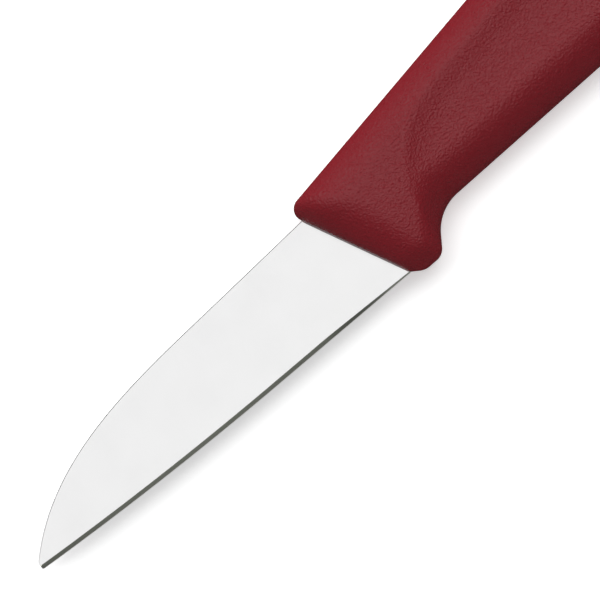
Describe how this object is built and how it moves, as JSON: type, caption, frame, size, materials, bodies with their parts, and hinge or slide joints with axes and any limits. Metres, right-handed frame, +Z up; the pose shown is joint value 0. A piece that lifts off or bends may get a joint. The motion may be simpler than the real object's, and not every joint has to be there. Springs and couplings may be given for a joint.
{
  "type": "paring knife",
  "caption": "Paring knife with a short flat-ground steel blade, nearly straight edge and curved back, in a moulded plastic handle with finger guard and scooped sides.",
  "frame": {"origin": "middle of the bounding box seen from above, on the plane that the knife lies on", "axes": "+X from the tip along the cutting edge towards the butt, +Y from the edge towards the back of the blade, +Z up out of the side of the knife that lies uppermost"},
  "size_m": [0.1818, 0.0336, 0.0124],
  "materials": {
    "blade_steel": "satin ground flats with a fine grain across the blade, narrow, smoother bevel along the edge",
    "handle_plastic": "dark red moulded plastic with a fine leather-like grain and a soft sheen"
  },
  "bodies": {
    "root": {"blade": "blade_steel", "handle": "handle_plastic"}
  },
  "joints": []
}
